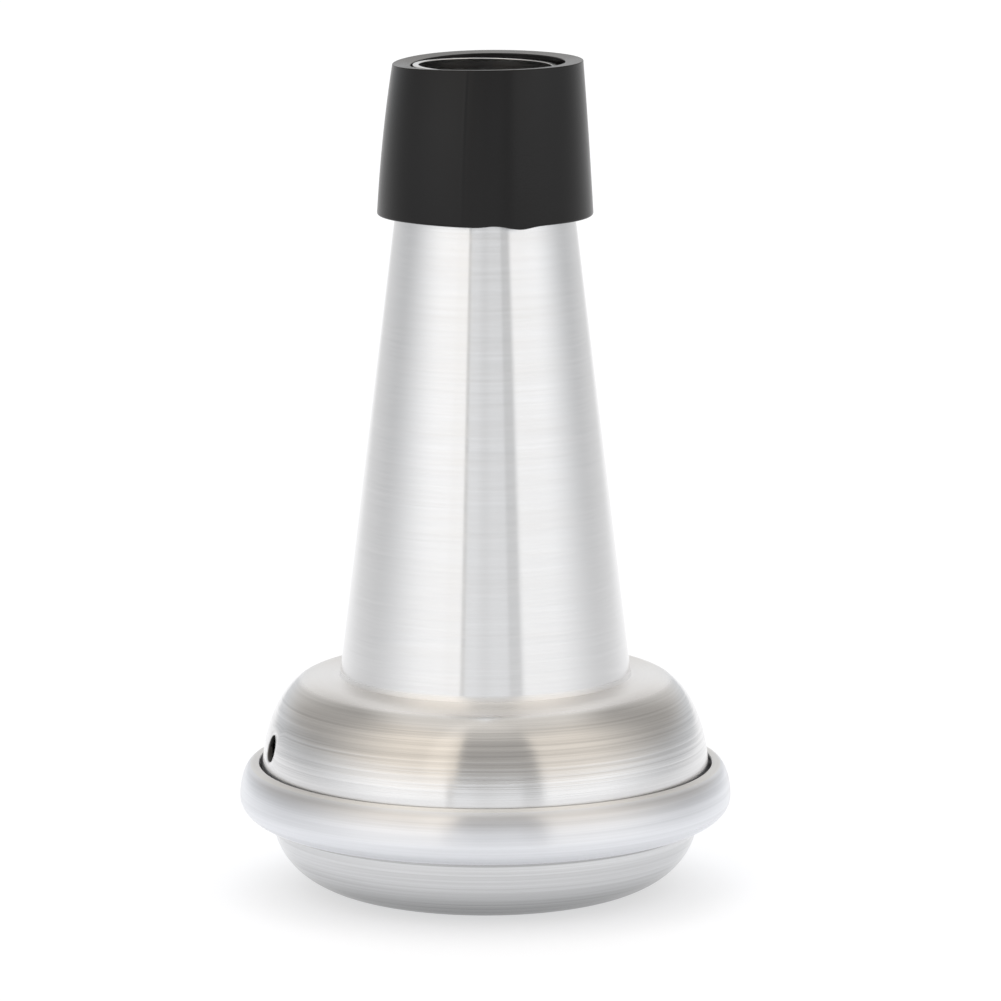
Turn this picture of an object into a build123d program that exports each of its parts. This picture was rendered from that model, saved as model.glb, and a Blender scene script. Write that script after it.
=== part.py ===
"""Compact practice mute for a trumpet bell, in millimetres.

The mute stands on its flat foot: the origin is the centre of the foot, +Z runs up the axis
to the small end with the rubber sleeve, and -Y is the side that shows the front.
Every piece but the vent holes is a section in the XZ plane turned about Z.
"""

from build123d import *
import os
from math import sqrt

# Overall size
overall_height = 110.0
rim_diameter = 65.0

# Base pan: a flat foot, then a quarter ellipse up to the crease under the rim band
foot_diameter = 33.0
pan_inset = 4.4
crease_height = 9.2
pan_wall = 0.8

# Body shell: cone, flat ledge, elliptical shoulder and upright skirt
mouth_diameter = 18.9
mouth_drop = 0.55
cone_foot_diameter = 38.5
cone_foot_fillet = 0.5
shoulder_height = 28.5
shoulder_ledge = 3.05
skirt_inset = 2.9
skirt_height = 14.9
shell_wall = 0.8

# Rim band: two quarter ellipses that meet on the widest line, and a short flat lip
band_wall = 0.5
band_widest_height = 12.4
band_lip_height = 16.8
band_lip_gap = 0.5
band_lip_flat = 0.5
band_crease_clearance = 0.05

# Flanged seam inside the rim band
gasket_thickness = 1.5
gasket_edge_inset = 0.1
flange_clearance = 0.1
flange_bend = 0.5

# Vent holes, drilled through the skirt on one diameter
vent_diameter = 3.5
vent_height = 19.9
vent_azimuth = 14.6

# Rubber sleeve on the small end
sleeve_length = 20.3
sleeve_bore = 20.2
sleeve_wall = 2.25
sleeve_belly = 0.15
sleeve_clearance = 0.1
sleeve_edge_round = 0.25

# Felt pad on the floor of the pan
pad_thickness = 3.0
pad_edge_clearance = 1.0

# Worked out from the sizes above
rim_radius = rim_diameter / 2
pan_radius = rim_radius - pan_inset
skirt_radius = rim_radius - skirt_inset
ledge_radius = cone_foot_diameter / 2 + shoulder_ledge
mouth_height = overall_height - mouth_drop
sleeve_foot_height = overall_height - sleeve_length
gasket_bottom = band_widest_height - gasket_thickness / 2
gasket_top = gasket_bottom + gasket_thickness
pan_flange_bottom = gasket_bottom - pan_wall
shell_flange_top = gasket_top + shell_wall
band_lip_radius = skirt_radius + band_lip_gap
band_top_radius = band_lip_radius + band_lip_flat
band_bottom_radius = pan_radius + band_crease_clearance


def cone_radius(height):
    """Outer radius of the straight cone at a height."""
    slope = (mouth_diameter - cone_foot_diameter) / 2 / (mouth_height - shoulder_height)
    return cone_foot_diameter / 2 + slope * (height - shoulder_height)


def quarter(centre_radius, centre_height, width, height, start_angle):
    """A quarter ellipse in the section plane, counter-clockwise from start_angle."""
    return EllipticalCenterArc((centre_radius, centre_height), width, height, start_angle, arc_size=90)


def ellipse_radius(centre_radius, width, height, offset):
    """Radius of a quarter ellipse at a vertical offset from its centre."""
    return centre_radius + width * sqrt(1 - (offset / height) ** 2)


def turned(edges):
    """The solid of revolution about Z of a closed outline drawn as (radius, height)."""
    section = Plane.XZ * make_face(edges)
    return revolve(section, axis=Axis.Z)


def rounded(solid, radius, test):
    """The solid with a fillet on each circular edge that passes the test."""
    edges = [edge for edge in solid.edges() if test(edge)]
    return fillet(edges, radius)


def edge_at(radius, height):
    """A test for the circular edge about Z with this radius and height."""
    def test(edge):
        point = edge @ 0
        return abs(point.Z - height) < 0.01 and abs(sqrt(point.X**2 + point.Y**2) - radius) < 0.01
    return test


def band_flank(height):
    """Inner radius of the rim band at a height beside its widest line."""
    inner_widest = rim_radius - band_wall
    offset = height - band_widest_height
    if offset < 0:
        depth = band_widest_height - crease_height - band_wall
        return ellipse_radius(band_bottom_radius, inner_widest - band_bottom_radius, depth, offset)
    rise = band_lip_height - band_widest_height - band_wall
    return ellipse_radius(band_top_radius, inner_widest - band_top_radius, rise, offset)


pan_flange_radius = band_flank(pan_flange_bottom) - flange_clearance
shell_flange_radius = band_flank(shell_flange_top) - flange_clearance


def make_base_pan():
    """The spun pan: flat foot, bowl, short upright wall and the flange that the gasket lies on."""
    foot = foot_diameter / 2
    inner = pan_radius - pan_wall
    bowl = quarter(foot, crease_height, pan_radius - foot, crease_height, 270)
    bowl_inside = quarter(foot, crease_height, inner - foot, crease_height - pan_wall, 270)
    rim = Polyline(
        bowl @ 1,
        (pan_radius, pan_flange_bottom),
        (pan_flange_radius, pan_flange_bottom),
        (pan_flange_radius, gasket_bottom),
        (inner, gasket_bottom),
        bowl_inside @ 1,
    )
    floor = Polyline(bowl_inside @ 0, (0, pan_wall), (0, 0), bowl @ 0)
    pan = turned(bowl + rim + bowl_inside + floor)
    pan = rounded(pan, flange_bend, edge_at(pan_radius, pan_flange_bottom))
    return rounded(pan, flange_bend + pan_wall, edge_at(inner, gasket_bottom))


def make_body_shell():
    """The spun cone and shoulder, its flange on the gasket, and the vents drilled through the skirt."""
    inside = skirt_radius - shell_wall
    rise = shoulder_height - skirt_height
    shoulder = quarter(ledge_radius, skirt_height, skirt_radius - ledge_radius, rise, 0)
    shoulder_inside = quarter(ledge_radius, skirt_height, inside - ledge_radius, rise - shell_wall, 0)
    seam = Polyline(
        shoulder @ 0,
        (skirt_radius, shell_flange_top),
        (shell_flange_radius, shell_flange_top),
        (shell_flange_radius, gasket_top),
        (inside, gasket_top),
        shoulder_inside @ 0,
    )
    cone = FilletPolyline(
        (mouth_diameter / 2, mouth_height),
        (cone_foot_diameter / 2, shoulder_height),
        shoulder @ 1,
        radius=cone_foot_fillet,
    )
    cone_inside = FilletPolyline(
        (mouth_diameter / 2 - shell_wall, mouth_height),
        (cone_radius(shoulder_height - shell_wall) - shell_wall, shoulder_height - shell_wall),
        shoulder_inside @ 1,
        radius=cone_foot_fillet + shell_wall,
    )
    mouth = Line(cone @ 0, cone_inside @ 0)
    shell = turned(shoulder + seam + shoulder_inside + cone + cone_inside + mouth)
    shell = rounded(shell, flange_bend, edge_at(skirt_radius, shell_flange_top))
    shell = rounded(shell, flange_bend + shell_wall, edge_at(inside, gasket_top))
    vents = Cylinder(vent_diameter / 2, rim_diameter, rotation=(0, 90, 0))
    return shell - Pos(0, 0, vent_height) * Rot(0, 0, vent_azimuth) * vents


def make_rim_band():
    """The rolled C-shaped band that traps both flanges, from the crease up to the free lip."""
    inner = rim_radius - band_wall
    fall = band_widest_height - crease_height
    rise = band_lip_height - band_widest_height
    lower = quarter(band_bottom_radius, band_widest_height, rim_radius - band_bottom_radius, fall, 270)
    upper = quarter(band_top_radius, band_widest_height, rim_radius - band_top_radius, rise, 0)
    lower_inside = quarter(
        band_bottom_radius, band_widest_height, inner - band_bottom_radius, fall - band_wall, 270
    )
    upper_inside = quarter(
        band_top_radius, band_widest_height, inner - band_top_radius, rise - band_wall, 0
    )
    lip_edge = Polyline(
        upper @ 1,
        (band_lip_radius, band_lip_height),
        (band_lip_radius, band_lip_height - band_wall),
        upper_inside @ 1,
    )
    crease_edge = Line(lower @ 0, lower_inside @ 0)
    return turned(lower + upper + lip_edge + upper_inside + lower_inside + crease_edge)


def make_seam_gasket():
    """The flat ring between the two flanges."""
    outer = min(pan_flange_radius, shell_flange_radius) - gasket_edge_inset
    bore = skirt_radius - shell_wall + gasket_edge_inset
    ring = Cylinder(outer, gasket_thickness) - Cylinder(bore, gasket_thickness)
    return Pos(0, 0, gasket_bottom + gasket_thickness / 2) * ring


def make_damping_pad():
    """The felt disc on the floor of the pan."""
    radius = foot_diameter / 2 - pad_edge_clearance
    return Pos(0, 0, pan_wall + pad_thickness / 2) * Cylinder(radius, pad_thickness)


def make_bell_sleeve():
    """The rubber sleeve: its bore follows the cone, then stays straight past the narrower mouth."""
    bore = sleeve_bore / 2
    foot_bore = cone_radius(sleeve_foot_height) + sleeve_clearance
    taper = (cone_radius(sleeve_foot_height) - cone_radius(overall_height)) / sleeve_length
    straight_from = sleeve_foot_height + (foot_bore - bore) / taper
    foot = (foot_bore + sleeve_wall, sleeve_foot_height)
    top = (bore + sleeve_wall, overall_height)
    middle = ((foot[0] + top[0]) / 2 + sleeve_belly, (foot[1] + top[1]) / 2)
    outside = ThreePointArc(foot, middle, top)
    inside = Polyline(top, (bore, overall_height), (bore, straight_from), (foot_bore, sleeve_foot_height), foot)
    sleeve = turned(outside + inside)
    sleeve = rounded(sleeve, sleeve_edge_round, edge_at(*top))
    return rounded(sleeve, sleeve_edge_round, edge_at(*foot))


pieces = {
    "body_shell": make_body_shell(),
    "base_pan": make_base_pan(),
    "rim_band": make_rim_band(),
    "seam_gasket": make_seam_gasket(),
    "damping_pad": make_damping_pad(),
    "bell_sleeve": make_bell_sleeve(),
}

os.makedirs("parts", exist_ok=True)
for name, solid in pieces.items():
    export_step(solid, f"parts/{name}.step")
    size = solid.bounding_box().size
    print(f"{name}: {solid.volume:.0f} mm3, {size.X:.2f} x {size.Y:.2f} x {size.Z:.2f} mm")
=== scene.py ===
"""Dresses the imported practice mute: turned metal skins, the rubber sleeve, the floor, the light and the camera.

Lengths of the object are written in millimetres and become metres when a mesh is made.
Angles round the object are counted from +X towards +Y; the front of the object faces -Y.
"""

from math import cos, degrees, pi, radians, sin

import bpy
import numpy as np
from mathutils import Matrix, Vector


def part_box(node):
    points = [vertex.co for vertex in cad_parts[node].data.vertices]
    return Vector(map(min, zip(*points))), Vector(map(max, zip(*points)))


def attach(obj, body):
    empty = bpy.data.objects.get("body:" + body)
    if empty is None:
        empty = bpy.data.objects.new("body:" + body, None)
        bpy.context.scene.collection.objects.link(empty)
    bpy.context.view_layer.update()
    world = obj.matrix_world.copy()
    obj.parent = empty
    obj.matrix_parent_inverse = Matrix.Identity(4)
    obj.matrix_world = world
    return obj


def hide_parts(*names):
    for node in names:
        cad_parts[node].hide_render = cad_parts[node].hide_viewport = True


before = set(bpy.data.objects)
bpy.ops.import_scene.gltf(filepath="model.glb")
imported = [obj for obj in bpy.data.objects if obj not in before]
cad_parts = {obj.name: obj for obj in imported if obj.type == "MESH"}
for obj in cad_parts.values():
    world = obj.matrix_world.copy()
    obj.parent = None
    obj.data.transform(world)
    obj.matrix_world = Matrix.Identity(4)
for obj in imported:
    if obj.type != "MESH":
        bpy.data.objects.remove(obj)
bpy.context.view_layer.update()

MM = 0.001

# Camera: the photograph's own angle, found from its outline
camera_place = (2.0, -876.0, 205.0)
camera_pitch = 9.924
camera_lens = 242.9

# Overall size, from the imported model
rim_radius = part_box("rim_band")[1][0] / MM
overall_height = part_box("bell_sleeve")[1][2] / MM

# Base pan
foot_radius = 16.5
pan_radius = 28.1
pan_wall = 0.8
crease_height = 9.2
pan_flange_radius = 31.2
pan_flange_bottom = 10.85

# Body shell
shell_wall = 0.8
mouth_radius = 9.45
mouth_height = 109.45
mouth_tilt = 0.12
mouth_low_azimuth = 30
cone_foot_radius = 19.25
ledge_radius = 22.3
shoulder_height = 28.5
skirt_radius = 29.6
skirt_height = 14.9
shell_flange_radius = 31.78
shell_flange_top = 13.95

# Rim band
band_wall = 0.5
band_widest_height = 12.4
band_lip_height = 16.8
band_lip_radius = 30.1
band_top_radius = 30.6
band_bottom_radius = 28.15

# Lean of the band's lip at the front: how far; where it starts outside the flat lip and over what width it
# grows; how far below the lip it starts and over what height it grows
lip_lean = 0.35
lip_lean_start = 0.4
lip_lean_ring = 0.9
lip_lean_depth = 0.9
lip_lean_fade = 0.4

# Seam gasket and felt pad
gasket_bottom = 11.65
gasket_top = 13.15
gasket_radius = 31.1
gasket_bore = 28.9
pad_radius = 15.5
pad_top = 3.8
pad_settling = 0.1

# Vents
vent_radius = 1.75
vent_height = 19.9
vent_azimuth = 14.6
vent_edge_break = 0.08

# Rubber sleeve
sleeve_foot_height = 89.7
sleeve_foot_radius = 14.16
sleeve_top_radius = 12.45
sleeve_belly = 0.15
sleeve_bore = 10.1
sleeve_clearance = 0.1

# Hand-cut edges of the sleeve
top_cut_drop = 0.5
top_dish = 0.2
hem_wave = 0.12
hem_lobes = ((0.32, -70, 7), (-0.2, -85, 6))
sleeve_lean = 0.35
lean_room_share = 0.7
mould_line_azimuth = -102.5
mould_line_width = 1.6

# Small rounds of the edges: how far each reaches along the two sides it joins
sheet_edge_round = 0.13
flange_bend = 0.45
flange_inner_bend = 1.05
cone_foot_bend = 0.2
rubber_edge_round = 0.25
felt_edge_round = 0.5

# Floor: its size and the sideways stretch of its painted side shade in metres, its tone and its lift to white
floor_width = 6.0
floor_drop = -0.00001
floor_lift = 0.60
floor_tone = 0.48
floor_tint = (0.97, 1.0, 1.06)
floor_side_shade = (0.15, 0.40)
floor_side_shade_depth = 0.45

# Studio light: the lamp's size and place in metres, its power in watts
studio_strength = 1.1
lamp_size = 2.0
lamp_place = (0.0, 0.35, 1.3)
lamp_power = 6.0

# Tones of the metals and the rubbers
aluminium_tone = (0.74, 0.74, 0.745)
# The pan's tone is darker than the shell's as painted shade, for the shadowed floor that its bowl mirrors
pan_tone = (0.653, 0.658, 0.668)
band_tone = (0.80, 0.815, 0.85)
sleeve_tone = (0.0065, 0.0060, 0.0061)
gasket_tone = (0.05, 0.05, 0.05)

# Painted light on the metal: what each painted shade takes from the tone or the painted highlight adds to it,
# and the height over which the painted shade in the crease thickens
foot_shade_depth = 0.58
crease_shade_depth = 0.30
crease_shade_ramp = 0.12
highlight_gain = 0.37
vent_shade_depth = 0.85

# Fineness of the turned meshes
columns = 360
vent_patch_cells = 8
vent_hole_cells = 4
azimuths = np.radians(vent_azimuth) + 2 * pi * np.arange(columns) / columns
vent_columns = (0, columns // 2)
patch_steps = np.arange(-vent_patch_cells, vent_patch_cells + 1)
patch_heights = vent_height + skirt_radius * 2 * pi / columns * patch_steps


def corner(radius, height, reach=0.0):
    """One corner of an outline and how far its rounding reaches along both sides."""
    return np.array([[radius, height, reach]])


def quarter(centre, reach, start, end, steps):
    """Points of an ellipse round a centre (radius, height), from a start to an end angle in degrees."""
    angle = np.radians(np.linspace(start, end, steps))
    radius = centre[0] + reach[0] * np.cos(angle)
    height = centre[1] + reach[1] * np.sin(angle)
    return np.stack([radius, height, np.zeros(steps)], axis=1)


def rounded(*parts, closed=True, steps=6, support=0.5, longest=2.0):
    """An outline of (radius, height) points with its corners rounded and its long runs divided.

    A corner gives way to the quadratic blend (1-s)^2 start + 2 s (1-s) corner + s^2 end, whose start and end lie
    the corner's reach away along its two sides. One more point lies a support share of the reach further along
    each side, so that flat sides stay flat in the shading. Runs over the longest are cut into equal steps.
    """
    table = np.vstack(parts)
    points, reach = table[:, :2], table[:, 2:]
    before = np.roll(points, 1, axis=0) - points
    after = np.roll(points, -1, axis=0) - points
    before /= np.hypot(before[:, :1], before[:, 1:])
    after /= np.hypot(after[:, :1], after[:, 1:])
    share = np.linspace(0, 1, steps)[None, :, None]
    bend = (1 - share) ** 2 * before[:, None] + share**2 * after[:, None]
    curve = points[:, None] + reach[:, None] * bend
    lead = points + (1 + support) * reach * before
    trail = points + (1 + support) * reach * after
    outline = np.concatenate([lead[:, None], curve, trail[:, None]], axis=1).reshape(-1, 2)
    if closed:
        outline = np.vstack([outline, outline[:1]])
    gap = np.hypot(*np.diff(outline, axis=0).T)
    outline = outline[np.concatenate([[True], gap > 1e-6])]
    lengths = np.hypot(*np.diff(outline, axis=0).T)
    cuts = np.ceil(lengths / longest).astype(int)
    run = np.repeat(np.arange(len(cuts)), cuts)
    share = (np.arange(len(run)) - np.repeat(np.cumsum(cuts) - cuts, cuts)) / cuts[run]
    divided = outline[run] + share[:, None] * (outline[run + 1] - outline[run])
    return divided if closed else np.vstack([divided, outline[-1:]])


def turned_grid(outline):
    """The outline carried round the axis: point (radius cos a, radius sin a, height) for each azimuth a."""
    radius = outline[:, :1]
    height = np.broadcast_to(outline[:, 1:], (len(outline), columns))
    return np.stack([radius * np.cos(azimuths), radius * np.sin(azimuths), height], axis=2)


def turning_grid(outline):
    """A grid point's place in the turning pattern: cosine and sine of its azimuth, length along the outline."""
    length = np.concatenate([[0], np.cumsum(np.hypot(*np.diff(outline, axis=0).T))])
    shape = (len(outline), columns)
    return np.stack(
        [
            np.broadcast_to(np.cos(azimuths), shape),
            np.broadcast_to(np.sin(azimuths), shape),
            np.broadcast_to(length[:, None], shape),
        ],
        axis=2,
    )


def grid_quads(rows, closed=True):
    """Corner numbers of a turned grid's four-sided faces, each anticlockwise seen from outside."""
    count = rows if closed else rows - 1
    row = np.arange(count)[:, None] * columns
    above = (np.arange(1, count + 1) % rows)[:, None] * columns
    column = np.arange(columns)[None, :]
    beside = (column + 1) % columns
    return np.stack([row + column, row + beside, above + beside, above + column], axis=2)


def make_piece(name, points, turning, quads, material, node, body="mute_body", triangles=()):
    """A smooth mesh from whole arrays of points in millimetres and of face corners, which replaces its node."""
    mesh = bpy.data.meshes.new(name)
    points = np.asarray(points).reshape(-1, 3)
    quads = np.asarray(quads).reshape(-1, 4)
    triangles = np.asarray(triangles, int).reshape(-1, 3)
    sizes = np.concatenate([np.full(len(quads), 4), np.full(len(triangles), 3)])
    mesh.vertices.add(len(points))
    mesh.vertices.foreach_set("co", (points * MM).ravel())
    mesh.loops.add(quads.size + triangles.size)
    mesh.loops.foreach_set("vertex_index", np.concatenate([quads.ravel(), triangles.ravel()]))
    mesh.polygons.add(len(sizes))
    mesh.polygons.foreach_set("loop_start", np.cumsum(sizes) - sizes)
    mesh.polygons.foreach_set("use_smooth", np.ones(len(sizes), bool))
    mesh.update(calc_edges=True)
    place = mesh.attributes.new("turning", "FLOAT_VECTOR", "POINT")
    place.data.foreach_set("vector", np.asarray(turning, float).ravel())
    mesh.materials.append(material)
    piece = bpy.data.objects.new(name, mesh)
    bpy.context.scene.collection.objects.link(piece)
    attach(piece, body)
    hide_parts(node)
    return piece


def make_ring(name, outline, material, node, body="mute_body", shaping=None):
    """A closed outline carried round the axis, its points then moved by the shaping, if there is one."""
    points = turned_grid(outline)
    if shaping:
        points = shaping(points)
    return make_piece(name, points, turning_grid(outline), grid_quads(len(outline)), material, node, body)


def make_disc(name, outline, material, node, shaping=None):
    """An outline that starts and ends on the axis, carried round it, with a fan of triangles at each pole."""
    points = turned_grid(outline)
    if shaping:
        points = shaping(points)
    turning = turning_grid(outline)
    last_row = (len(outline) - 3) * columns
    column = np.arange(columns)
    beside = (column + 1) % columns
    poles = np.stack([points[0, 0], points[-1, 0]])
    pole_turning = np.array([[0, 0, turning[0, 0, 2]], [0, 0, turning[-1, 0, 2]]])
    points = points[1:-1].reshape(-1, 3)
    turning = turning[1:-1].reshape(-1, 3)
    start_pole = np.full(columns, len(points))
    start_fan = np.stack([start_pole, beside, column], axis=1)
    end_fan = np.stack([start_pole + 1, last_row + column, last_row + beside], axis=1)
    return make_piece(
        name,
        np.vstack([points, poles]),
        np.vstack([turning, pole_turning]),
        grid_quads(len(outline) - 2, closed=False),
        material,
        node,
        triangles=np.vstack([start_fan, end_fan]),
    )


def cone_radius(height):
    """Outer radius of the straight cone at a height."""
    slope = (mouth_radius - cone_foot_radius) / (mouth_height - shoulder_height)
    return cone_foot_radius + slope * (height - shoulder_height)


def shoulder_radius(height, inset):
    """Radius of the skirt and of the quarter ellipse above it, the inset further in."""
    rise = shoulder_height - skirt_height - inset
    lift = np.clip((height - skirt_height) / rise, 0, 1)
    return ledge_radius + (skirt_radius - inset - ledge_radius) * np.sqrt(1 - lift**2)


def shoulder_curve(lowest, inset):
    """The quarter ellipse of the shoulder from a height up to its top."""
    rise = shoulder_height - skirt_height - inset
    start = degrees(np.arcsin((lowest - skirt_height) / rise))
    return quarter((ledge_radius, skirt_height), (skirt_radius - inset - ledge_radius, rise), start, 90, 14)


def open_vent(points, rows, column, inset):
    """Draws the square rings of grid points about a vent's centre towards a circle.

    The ring that bounds the hole becomes the circle, the outermost stays as it is, and the rings between share the
    change evenly. A point's sideways distance and height give its radius, and the arcsine gives its azimuth.
    """
    block = np.ix_(rows, (column + patch_steps) % columns)
    turn = azimuths[column]
    radius = np.hypot(points[block][..., 0], points[block][..., 1])
    side = radius * np.sin(np.radians(360 / columns) * patch_steps)[None, :]
    up = points[block][..., 2] - vent_height
    across, upward = np.meshgrid(patch_steps, patch_steps)
    ring = np.maximum(np.abs(across), np.abs(upward))
    angle = np.arctan2(upward, across)
    share = np.clip((ring - vent_hole_cells) / (vent_patch_cells - vent_hole_cells), 0, 1)
    stretch = vent_patch_cells / np.maximum(ring, 1)
    edge = vent_radius + vent_edge_break
    side = (1 - share) * edge * np.cos(angle) + share * side * np.where(ring < vent_patch_cells, stretch, 1)
    up = (1 - share) * edge * np.sin(angle) + share * up * np.where(ring < vent_patch_cells, stretch, 1)
    radius = shoulder_radius(vent_height + up, inset)
    azimuth = turn + np.arcsin(side / radius)
    points[block] = np.stack([radius * np.cos(azimuth), radius * np.sin(azimuth), vent_height + up], axis=2)


def hole_ring(rows, column):
    """Numbers of the grid points round a vent's hole, anticlockwise seen from outside."""
    reach = np.arange(-vent_hole_cells, vent_hole_cells)
    full = np.full(len(reach), vent_hole_cells)
    side = np.concatenate([reach, full, -reach, -full])
    up = np.concatenate([-full, reach, full, -reach])
    return rows[vent_patch_cells + up] * columns + (column + side) % columns


def vent_wall(points, outer, inner, column, first_number):
    """The wall of a vent: rings of points as wide as the drill, between the hole's outer and inner ring."""
    turn = azimuths[column]
    outward = np.array([cos(turn), sin(turn), 0])
    sideways = np.array([-sin(turn), cos(turn), 0])
    upward = np.array([0, 0, 1])
    side = points[outer] @ sideways
    up = points[outer] @ upward - vent_height
    shrink = vent_radius / np.hypot(side, up)
    drill = np.outer(side * shrink, sideways) + np.outer(up * shrink + vent_height, upward)
    start = points[outer] @ outward - vent_edge_break
    end = points[inner] @ outward + vent_edge_break
    depths = [start + share * (end - start) for share in np.linspace(0, 1, 4)]
    wall = np.vstack([drill + np.outer(depth, outward) for depth in depths])
    numbers = first_number + np.arange(len(wall)).reshape(len(depths), -1)
    rings = [outer, *numbers, inner]
    quads = [np.stack([a, np.roll(a, -1), np.roll(b, -1), b], axis=1) for a, b in zip(rings, rings[1:])]
    return wall, np.vstack(quads)


def make_body_shell(material):
    """The cone, shoulder and skirt with the seam flange, and both vents opened through the wall.

    The mouth's cut is a plane that leans down towards one azimuth, by the tilt times one plus the share of the
    mouth's radius that a point lies that way. The vents' walls are marked as drilled for the material.
    """
    inside = skirt_radius - shell_wall
    cone_inside_foot = cone_radius(shoulder_height - shell_wall) - shell_wall
    flat = np.zeros(len(patch_heights))
    outer_patch = np.stack([shoulder_radius(patch_heights, 0), patch_heights, flat], axis=1)
    inner_patch = np.stack([shoulder_radius(patch_heights, shell_wall), patch_heights, flat], axis=1)
    above_patch = 2 * patch_heights[-1] - patch_heights[-2]
    outline = rounded(
        corner(shell_flange_radius, gasket_top, sheet_edge_round),
        corner(shell_flange_radius, shell_flange_top, sheet_edge_round),
        corner(skirt_radius, shell_flange_top, flange_bend),
        corner(skirt_radius, skirt_height),
        outer_patch,
        shoulder_curve(above_patch, 0),
        corner(cone_foot_radius, shoulder_height, cone_foot_bend),
        corner(mouth_radius, mouth_height, sheet_edge_round),
        corner(mouth_radius - shell_wall, mouth_height, sheet_edge_round),
        corner(cone_inside_foot, shoulder_height - shell_wall, cone_foot_bend),
        shoulder_curve(above_patch, shell_wall)[::-1],
        inner_patch[::-1],
        corner(inside, skirt_height),
        corner(inside, gasket_top, flange_inner_bend),
    )
    outer_start = np.abs(outline - outer_patch[0, :2]).sum(axis=1).argmin()
    inner_end = np.abs(outline - inner_patch[0, :2]).sum(axis=1).argmin()
    outer_rows = outer_start + np.arange(len(patch_heights))
    inner_rows = inner_end - np.arange(len(patch_heights))
    points = turned_grid(outline)
    near_mouth = np.clip((points[..., 2] - mouth_height) / sheet_edge_round / 4 + 1, 0, 1)
    low_side = radians(mouth_low_azimuth)
    toward_low = (points[..., 0] * cos(low_side) + points[..., 1] * sin(low_side)) / mouth_radius
    points[..., 2] -= near_mouth * mouth_tilt * (1 + toward_low)
    turning = turning_grid(outline).reshape(-1, 3)
    kept = np.ones((len(outline), columns), bool)
    cells = np.arange(-vent_hole_cells, vent_hole_cells)
    for column in vent_columns:
        for rows, inset in ((outer_rows, 0), (inner_rows, shell_wall)):
            open_vent(points, rows, column, inset)
            kept[np.ix_(rows[vent_patch_cells] + cells, (column + cells) % columns)] = False
    points = points.reshape(-1, 3)
    quads = [grid_quads(len(outline))[kept]]
    for column in vent_columns:
        outer = hole_ring(outer_rows, column)
        inner = hole_ring(inner_rows, column)
        wall, wall_quads = vent_wall(points, outer, inner, column, len(points))
        points = np.vstack([points, wall])
        turning = np.vstack([turning, np.tile(turning[outer], (len(wall) // len(outer), 1))])
        quads.append(wall_quads)
    shell = make_piece("turned_shell", points, turning, np.vstack(quads), material, "body_shell")
    drilled = shell.data.attributes.new("drilled", "FLOAT", "POINT")
    drilled.data.foreach_set("value", (np.arange(len(points)) >= len(outline) * columns).astype(float))
    return shell


def make_base_pan(material):
    """The flat foot and bowl with its upright wall and the flange under the gasket."""
    inner = pan_radius - pan_wall
    outline = rounded(
        corner(0, 0),
        quarter((foot_radius, crease_height), (pan_radius - foot_radius, crease_height), 270, 360, 26),
        corner(pan_radius, pan_flange_bottom, flange_bend),
        corner(pan_flange_radius, pan_flange_bottom, sheet_edge_round),
        corner(pan_flange_radius, gasket_bottom, sheet_edge_round),
        corner(inner, gasket_bottom, flange_inner_bend),
        quarter((foot_radius, crease_height), (inner - foot_radius, crease_height - pan_wall), 360, 270, 22),
        corner(0, pan_wall),
        closed=False,
    )
    return make_disc("turned_pan", outline, material, "base_pan")


def make_rim_band(material):
    """The rolled band of C section, from its edge on the bowl to the free lip round the skirt."""
    lower = (band_bottom_radius, band_widest_height)
    upper = (band_top_radius, band_widest_height)
    fall = band_widest_height - crease_height
    rise = band_lip_height - band_widest_height
    inner = rim_radius - band_wall
    lower_start = quarter(lower, (rim_radius - lower[0], fall), 270, 360, 20)
    lower_start[0, 2] = sheet_edge_round
    lower_inside = quarter(lower, (inner - lower[0], fall - band_wall), 360, 270, 16)
    outline = rounded(
        quarter(upper, (inner - upper[0], rise - band_wall), 90, 0, 16),
        lower_inside[1:-1],
        corner(lower[0], crease_height + band_wall),
        corner(lower[0], crease_height),
        lower_start[1:],
        quarter(upper, (rim_radius - upper[0], rise), 0, 90, 20)[1:],
        corner(band_lip_radius, band_lip_height, sheet_edge_round),
        corner(band_lip_radius, band_lip_height - band_wall, sheet_edge_round),
    )

    def leant_lip(points):
        """Leans the lip in towards the skirt: most at the front, not at the back, and fading out down the band."""
        radius = np.hypot(points[..., 0], points[..., 1])
        front = (1 - points[..., 1] / radius) / 2
        near_edge = np.clip((band_top_radius + lip_lean_start - radius) / lip_lean_ring, 0, 1)
        near_top = np.clip((points[..., 2] - band_lip_height + lip_lean_depth) / lip_lean_fade, 0, 1)
        points[..., :2] *= (1 - lip_lean * front**2 * near_edge * near_top / radius)[..., None]
        return points

    return make_ring("rolled_band", outline, material, "rim_band", shaping=leant_lip)


def make_seam_gasket(material):
    """The flat rubber ring between the flanges, its edges a little rounded."""
    outline = rounded(
        corner(gasket_bore, gasket_bottom, rubber_edge_round),
        corner(gasket_radius, gasket_bottom, rubber_edge_round),
        corner(gasket_radius, gasket_top, rubber_edge_round),
        corner(gasket_bore, gasket_top, rubber_edge_round),
        longest=0.5,
    )
    return make_ring("seam_ring", outline, material, "seam_gasket")


def make_damping_pad(material):
    """The felt disc on the pan's floor: its face rises and falls gently where the cut felt has settled."""
    outline = rounded(
        corner(0, pan_wall),
        corner(pad_radius, pan_wall, felt_edge_round),
        corner(pad_radius, pad_top, felt_edge_round),
        corner(0, pad_top),
        closed=False,
        longest=0.5,
    )

    def settled(points):
        """Lowers the upper face by the sum of two slow waves that cross, from nothing to the whole settling."""
        lift = (points[..., 2] - pan_wall) / (pad_top - pan_wall)
        wave = pad_settling / 4 * (2 + np.sin(0.9 * points[..., 0]) + np.cos(1.1 * points[..., 1] + 0.4))
        points[..., 2] -= np.clip(lift, 0, 1) * wave
        return points

    return make_disc("felt_pad", outline, material, "damping_pad", settled)


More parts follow.
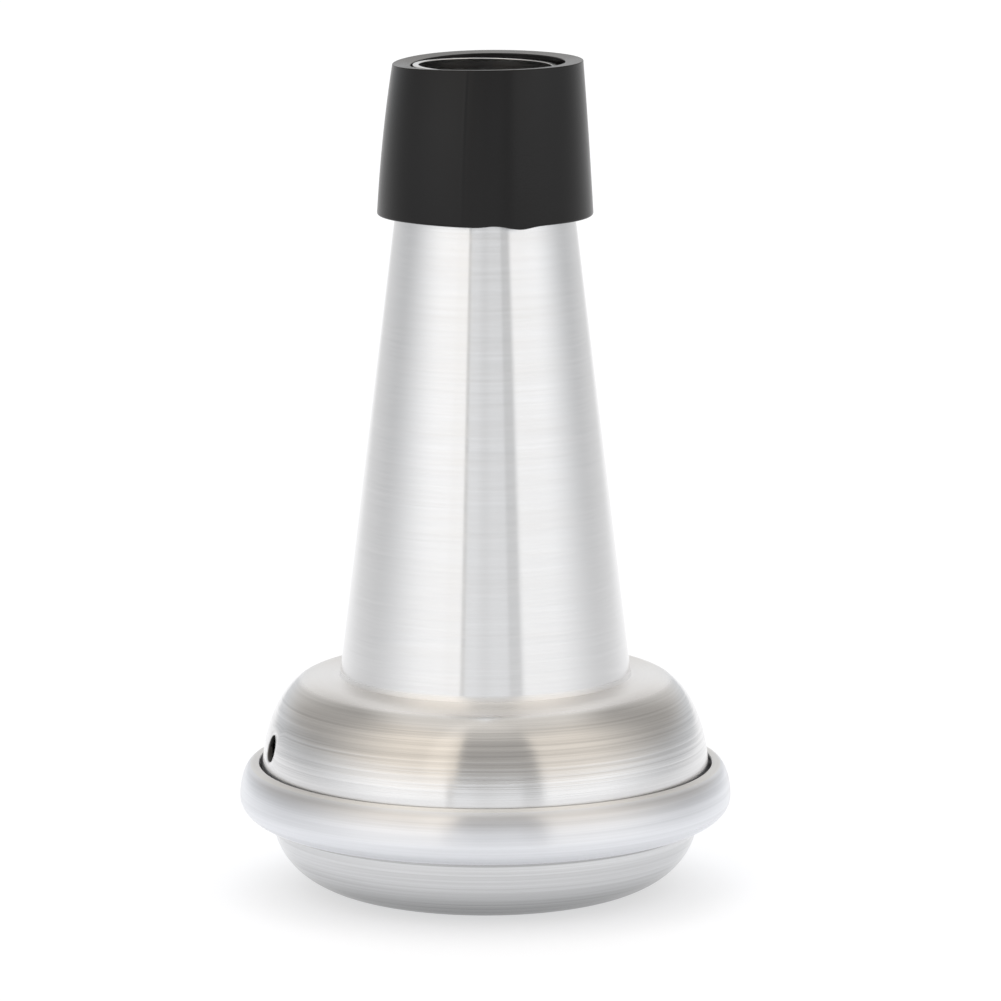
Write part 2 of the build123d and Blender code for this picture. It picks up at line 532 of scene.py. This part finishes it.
def make_bell_sleeve(material):
    """The rubber sleeve: a tapered wall with a slight belly; its bore follows the cone, then runs straight."""
    foot_bore = cone_radius(sleeve_foot_height) + sleeve_clearance
    taper = (cone_foot_radius - mouth_radius) / (mouth_height - shoulder_height)
    straight_from = sleeve_foot_height + (foot_bore - sleeve_bore) / taper
    share = np.linspace(0, 1, 24)[1:-1]
    height = sleeve_foot_height + (overall_height - sleeve_foot_height) * share
    radius = sleeve_foot_radius + (sleeve_top_radius - sleeve_foot_radius) * share
    radius = radius + 4 * sleeve_belly * share * (1 - share)
    outside = np.stack([radius, height, np.zeros(len(share))], axis=1)
    outline = rounded(
        corner(sleeve_bore, straight_from),
        corner(foot_bore, sleeve_foot_height, sheet_edge_round),
        corner(sleeve_foot_radius, sleeve_foot_height, rubber_edge_round),
        outside,
        corner(sleeve_top_radius, overall_height, sheet_edge_round),
        corner(sleeve_bore, overall_height - top_dish, sheet_edge_round),
        longest=1.0,
    )

    def cut_by_hand(points):
        """Slopes the top cut, lets the hem wander a little, and leans the free end to one side.

        The top drops by the fourth power of how far a point lies to the left, most at its edge; the hem is a
        sum of slow waves round the axis and a few narrow lobes, each with its depth, azimuth and width; the lean
        grows with the square of the height above the hem, but the bore stays clear of the metal neck.
        """
        azimuth = np.arctan2(points[..., 1], points[..., 0])
        lift = (points[..., 2] - sleeve_foot_height) / (overall_height - sleeve_foot_height)
        near_top = np.clip(lift, 0, 1) ** 3
        near_hem = np.clip(1 - lift, 0, 1) ** 8
        drop = top_cut_drop * ((1 - np.cos(azimuth)) / 2) ** 4
        hem = hem_wave * (1 + np.sin(2 * azimuth + 0.7)) / 2 + hem_wave * (1 + np.sin(5 * azimuth)) / 4
        for depth, place, width in hem_lobes:
            hem -= depth * np.exp(-(((np.degrees(azimuth) - place) / width) ** 2))
        room = np.hypot(points[..., 0], points[..., 1]) - cone_radius(points[..., 2])
        lean = np.minimum(sleeve_lean * np.clip(lift, 0, 1) ** 2, room * lean_room_share)
        points[..., 2] += near_hem * hem - near_top * drop
        points[..., 0] += lean
        return points

    return make_ring("bell_rubber", outline, material, "bell_sleeve", "sleeve", cut_by_hand)


class Shade:
    """One output socket of a node tree. Sums, differences and products add Math nodes."""

    def __init__(self, tree, socket=None):
        self.tree = tree
        self.socket = socket

    def make(self, kind, inputs=None, output=0, **settings):
        """Another node of this tree: its kind and its settings, then its sockets' values or links."""
        node = self.tree.nodes.new("ShaderNode" + kind)
        for name, value in settings.items():
            setattr(node, name, value)
        for name, value in (inputs or {}).items():
            if isinstance(value, Shade):
                self.tree.links.new(value.socket, node.inputs[name])
            else:
                node.inputs[name].default_value = value
        return Shade(self.tree, node.outputs[output]) if node.outputs else None

    def part(self, output):
        """Another output of the same node."""
        return Shade(self.tree, self.socket.node.outputs[output])

    def math(self, operation, *values):
        """A Math node on this value and the further ones."""
        return self.make("Math", dict(enumerate((self, *values))), operation=operation)

    def __add__(self, other):
        return self.math("ADD", other)

    def __sub__(self, other):
        return self.math("SUBTRACT", other)

    def __mul__(self, other):
        return self.math("MULTIPLY", other)

    def __rsub__(self, other):
        return self.make("Math", {0: other, 1: self}, operation="SUBTRACT")

    __radd__ = __add__
    __rmul__ = __mul__

    def step(self, start, end):
        """Smooth rise from nothing to one as the value goes from start to end."""
        inputs = {"Value": self, "From Min": start, "From Max": end}
        return self.make("MapRange", inputs, interpolation_type="SMOOTHSTEP")

    def band(self, start, end, soft):
        """One between start and end and nothing beyond, with soft edges."""
        return self.step(start - soft, start + soft) * (1 - self.step(end - soft, end + soft))

    def tint(self, colour):
        """This value times a colour."""
        return self.make("VectorMath", {0: colour, "Scale": self}, operation="SCALE")

    def blend(self, under, over):
        """The colour over laid on the colour under, as far as this value says."""
        return self.make("Mix", {0: self, 6: under, 7: over}, output=2, data_type="RGBA")


def new_material(name):
    """An empty material and the Shade that makes its nodes."""
    material = bpy.data.materials.new(name)
    material.use_nodes = True
    material.node_tree.nodes.clear()
    return material, Shade(material.node_tree)


def turning_lines(shade, round_scale, line_scale):
    """Noise that changes slowly round the axis and quickly along the outline, as a turning tool leaves it."""
    place = shade.make("Attribute", attribute_name="turning", output="Vector")
    scale = (round_scale, round_scale, line_scale)
    stretched = shade.make("VectorMath", {0: place, 1: scale}, operation="MULTIPLY")
    return shade.make("TexNoise", {"Vector": stretched, "Scale": 1.0, "Detail": 2.0, "Roughness": 0.6})


def spun_aluminium(
    name,
    line_scale,
    dullness,
    streaks,
    colour=aluminium_tone,
    streak_heights=None,
    highlight_heights=None,
    foot_shade_to=None,
    crease_shade_from=None,
):
    """Bare spun aluminium: lines round the axis in its tone, its gloss and its surface.

    Between the streak heights, in millimetres, the tool has left stronger streaks; between the highlight heights a
    painted highlight brightens the tone and the metal is rougher. Painted shade darkens the tone from the foot up
    to a given height, above a given height in the crease, and on the drilled vent walls, which are also rougher.
    """
    material, shade = new_material(name)
    height = shade.make("SeparateXYZ", {0: shade.make("TexCoord", output="Object")}, output=2) * (1 / MM)
    streaked = height.band(*streak_heights, 1.5) * 7.0 + 1.0 if streak_heights else 1.0
    # Painted highlight: the tone is brightened between the highlight heights, where the metal is also rougher
    highlight_and_roughening = height.band(*highlight_heights, 0.35) if highlight_heights else 0.0
    # Painted shade: the tone darkens from the foot up
    foot_shade = (1 - height.step(0.5, foot_shade_to)) * foot_shade_depth if foot_shade_to else 0.0
    # Painted shade in the crease under the band
    crease_shade = height.step(crease_shade_from, crease_shade_from + crease_shade_ramp) * crease_shade_depth if crease_shade_from else 0.0
    drilled = shade.make("Attribute", attribute_name="drilled", output="Fac")
    fine = turning_lines(shade, 0.6, line_scale) - 0.5
    middle = turning_lines(shade, 0.4, line_scale * 0.3) - 0.5
    broad = turning_lines(shade, 0.8, line_scale * 0.06) - 0.5
    lines = (fine * 0.5 + middle) * streaked * streaks
    # Painted light in the tone: the highlight added, the shades taken away
    painted_light = highlight_and_roughening * highlight_gain - foot_shade - crease_shade
    # Painted shade: the drilled vent walls are darkened
    tone = (lines * 0.12 + broad * 0.05 + painted_light + 0.97) * (1 - drilled * vent_shade_depth)
    roughness = fine * 0.08 + broad * 0.08 + highlight_and_roughening * 0.22 + drilled * 0.3 + dullness
    relief = (fine + middle * 3.0) * streaked * streaks + broad * 12.0
    surface = shade.make(
        "BsdfPrincipled",
        {
            "Base Color": tone.tint(colour),
            "Metallic": 1.0,
            "Roughness": roughness,
            "Anisotropic": 0.93,
            "Anisotropic Rotation": 0.25,
            "Normal": shade.make("Bump", {"Strength": 0.6, "Distance": 0.000003, "Height": relief}),
        },
    )
    shade.make("OutputMaterial", {"Surface": surface})
    return material


def black_rubber(name, colour, grain_scale, line_height=0.0):
    """Satin rubber: a fine moulded grain, slow dusty patches in the gloss, and the raised line of the mould."""
    material, shade = new_material(name)
    turning = shade.make("SeparateXYZ", {0: shade.make("Attribute", attribute_name="turning", output="Vector")})
    azimuth = turning.part(1).math("ARCTAN2", turning) * (180 / pi)
    near_line = 1 - (azimuth - mould_line_azimuth).math("ABSOLUTE").step(0, mould_line_width)
    place = shade.make("TexCoord", output="Object")
    grain = shade.make("TexNoise", {"Vector": place, "Scale": grain_scale, "Detail": 3.0})
    patches = shade.make("TexNoise", {"Vector": place, "Scale": grain_scale * 0.04, "Detail": 2.0})
    tone = grain * 0.15 + patches * 0.3 + 0.78
    height = grain * 0.7 + patches * 0.3 + near_line * line_height
    surface = shade.make(
        "BsdfPrincipled",
        {
            "Base Color": tone.tint(colour),
            "Roughness": patches * 0.1 + grain * 0.05 + 0.16,
            "IOR": 1.34,
            "Normal": shade.make("Bump", {"Strength": 0.5, "Distance": 0.00002, "Height": height}),
        },
    )
    shade.make("OutputMaterial", {"Surface": surface})
    return material


def pressed_felt(name):
    """Pressed grey felt: matted fibres as two stretched noises, lighter where they stand up."""
    material, shade = new_material(name)
    place = shade.make("TexCoord", output="Object")
    across = shade.make("VectorMath", {0: place, 1: (3000.0, 500.0, 1500.0)}, operation="MULTIPLY")
    down = shade.make("VectorMath", {0: place, 1: (600.0, 3200.0, 1500.0)}, operation="MULTIPLY")
    fibre = shade.make("TexNoise", {"Vector": across, "Scale": 1.0, "Detail": 3.0, "Distortion": 1.5})
    cross_fibre = shade.make("TexNoise", {"Vector": down, "Scale": 1.0, "Detail": 3.0, "Distortion": 1.5})
    matted = fibre.math("MAXIMUM", cross_fibre)
    surface = shade.make(
        "BsdfPrincipled",
        {
            "Base Color": matted.step(0.35, 0.85).blend((0.06, 0.055, 0.052, 1), (0.30, 0.29, 0.27, 1)),
            "Roughness": 0.95,
            "Sheen Weight": 0.3,
            "Sheen Roughness": 0.5,
            "Normal": shade.make("Bump", {"Strength": 0.8, "Distance": 0.0001, "Height": matted}),
        },
    )
    shade.make("OutputMaterial", {"Surface": surface})
    return material


def make_floor():
    """A wide white floor that keeps the soft shadow; what the camera and the metal see is lifted to white.

    Beyond the picture's sides painted shade darkens its tone a little.
    """
    material, shade = new_material("white_floor")
    place = shade.make("TexCoord", output="Object")
    mottle = shade.make("TexNoise", {"Vector": place, "Scale": 40.0, "Detail": 2.0})
    aside = shade.make("SeparateXYZ", {0: place}).math("ABSOLUTE")
    # Painted shade: the floor's tone darkens towards the sides
    tone = (mottle * 0.01 + floor_tone) * (1 - aside.step(*floor_side_shade) * floor_side_shade_depth)
    paper = shade.make("BsdfDiffuse", {"Color": tone.tint(floor_tint)})
    path = shade.make("LightPath", output="Is Camera Ray")
    seen = path + path.part("Is Glossy Ray") + path.part("Is Transmission Ray")
    lift = shade.make("Emission", {"Color": (1, 1, 1, 1), "Strength": seen.math("MINIMUM", 1.0) * floor_lift})
    shade.make("OutputMaterial", {"Surface": shade.make("AddShader", {0: paper, 1: lift})})
    half = floor_width / 2
    signs = ((-1, -1), (1, -1), (1, 1), (-1, 1))
    mesh = bpy.data.meshes.new("floor")
    mesh.from_pydata([(half * x, half * y, floor_drop) for x, y in signs], [], [(0, 1, 2, 3)])
    mesh.materials.append(material)
    floor = bpy.data.objects.new("floor", mesh)
    bpy.context.scene.collection.objects.link(floor)


def make_studio():
    """A soft studio drawn as a sky, in degrees: azimuth from the front to the right, elevation from the horizon.

    Two tall pale panels stand to the left and right of the camera. The left one is a little dimmer near its inner
    edge, and the wall and ceiling above that edge are a little paler. The gap between the panels narrows upwards;
    it has a dark stand at each side, and a pale strip and a darker middle between. Warm, dimmer walls rise above
    the panels' level, and the ceiling overhead is pale, most of all towards the back.
    """
    world = bpy.data.worlds.new("studio")
    bpy.context.scene.world = world
    world.use_nodes = True
    world.node_tree.nodes.clear()
    shade = Shade(world.node_tree)
    direction = shade.make("TexCoord", output="Generated")
    across = shade.make("SeparateXYZ", {0: direction})
    azimuth = across.math("ARCTAN2", across.part(1) * -1.0) * (180 / pi)
    elevation = across.part(2).math("ARCSINE") * (180 / pi)
    narrowing = elevation.step(4, 20) * 4.5
    past_left_edge = (azimuth - narrowing).step(-20.5, -18.5)
    past_right_edge = (azimuth + narrowing * 0.4).step(28, 34)
    left_panel = azimuth.step(-112, -46) * (1 - past_left_edge)
    right_panel = past_right_edge * (1 - azimuth.step(56, 118))
    gap = past_left_edge * (1 - past_right_edge)
    left_stand = azimuth.band(-20, -16.5, 0.6)
    strip = azimuth.band(-15, -7, 2)
    middle = azimuth.band(-4, 4, 4)
    right_stand = azimuth.band(19, 29, 1.5)
    in_gap = gap * 0.53 + strip * 0.06 - left_stand * 0.38 - middle * 0.10 - right_stand * 0.28
    back = azimuth.math("ABSOLUTE").step(125, 175)
    edge = azimuth.band(-33, -20.5, 3.0)
    low = left_panel * 0.90 + right_panel * 0.82 + in_gap + back * 0.06 - edge * 0.12 + 0.62
    high = left_panel * 0.42 + right_panel * 0.38 + edge * 0.10 + back * 0.36 + 0.39
    ceiling = edge * 0.14 - right_panel * 0.08 + back * 0.50 + 0.75
    warmth = left_panel * 0.5 + right_panel * 0.35 - back * 0.3 + 0.5
    walls = warmth.blend(high.tint((1.0, 1.0, 1.0)), high.tint((1.10, 1.0, 0.87)))
    overhead = back.blend(ceiling.tint((1.05, 1.0, 0.93)), ceiling.tint((0.98, 1.0, 1.02)))
    colour = elevation.step(-2, 20).blend(low.tint((0.98, 1.0, 1.025)), walls)
    colour = (elevation + back * 18).step(48, 68).blend(colour, overhead)
    light = shade.make("Background", {"Color": colour, "Strength": studio_strength})
    shade.make("OutputWorld", {"Surface": light})


def make_lamp():
    """A wide soft lamp overhead that lights the floor and the rubber; the metal shows only the studio round it."""
    data = bpy.data.lights.new("lamp", "AREA")
    data.size = lamp_size
    data.energy = lamp_power
    lamp = bpy.data.objects.new("lamp", data)
    lamp.location = lamp_place
    lamp.visible_glossy = False
    lamp.visible_camera = False
    bpy.context.scene.collection.objects.link(lamp)


def make_camera():
    """The photograph's camera: in front, a little above, looking down along its pitch."""
    data = bpy.data.cameras.new("camera")
    data.sensor_width = 36.0
    data.lens = camera_lens
    data.clip_start = 0.01
    data.clip_end = 20.0
    camera = bpy.data.objects.new("camera", data)
    camera.location = [place * MM for place in camera_place]
    camera.rotation_euler = (radians(90 - camera_pitch), 0, 0)
    bpy.context.scene.collection.objects.link(camera)
    bpy.context.scene.camera = camera


shell_metal = spun_aluminium(
    "spun_shell",
    line_scale=9.0,
    dullness=0.17,
    streaks=0.5,
    streak_heights=(18.0, 27.0),
    # Painted highlight on the ledge and the foot of the cone
    highlight_heights=(27.9, 29.2),
)
pan_metal = spun_aluminium(
    "spun_pan",
    line_scale=8.0,
    dullness=0.2,
    streaks=3.0,
    colour=pan_tone,
    # Painted shade from the foot up, and in the crease under the band
    foot_shade_to=6.0,
    crease_shade_from=8.65,
)
band_metal = spun_aluminium(
    "rolled_band",
    line_scale=5.0,
    dullness=0.30,
    streaks=2.4,
    colour=band_tone,
    # Painted highlight along the lip
    highlight_heights=(16.5, 17.5),
)
make_body_shell(shell_metal)
make_base_pan(pan_metal)
make_rim_band(band_metal)
make_seam_gasket(black_rubber("seal_rubber", gasket_tone, grain_scale=2500.0))
make_damping_pad(pressed_felt("felt"))
make_bell_sleeve(black_rubber("sleeve_rubber", sleeve_tone, grain_scale=4000.0, line_height=5.0))
make_floor()
make_studio()
make_lamp()
make_camera()
bpy.context.scene.view_settings.view_transform = "Standard"
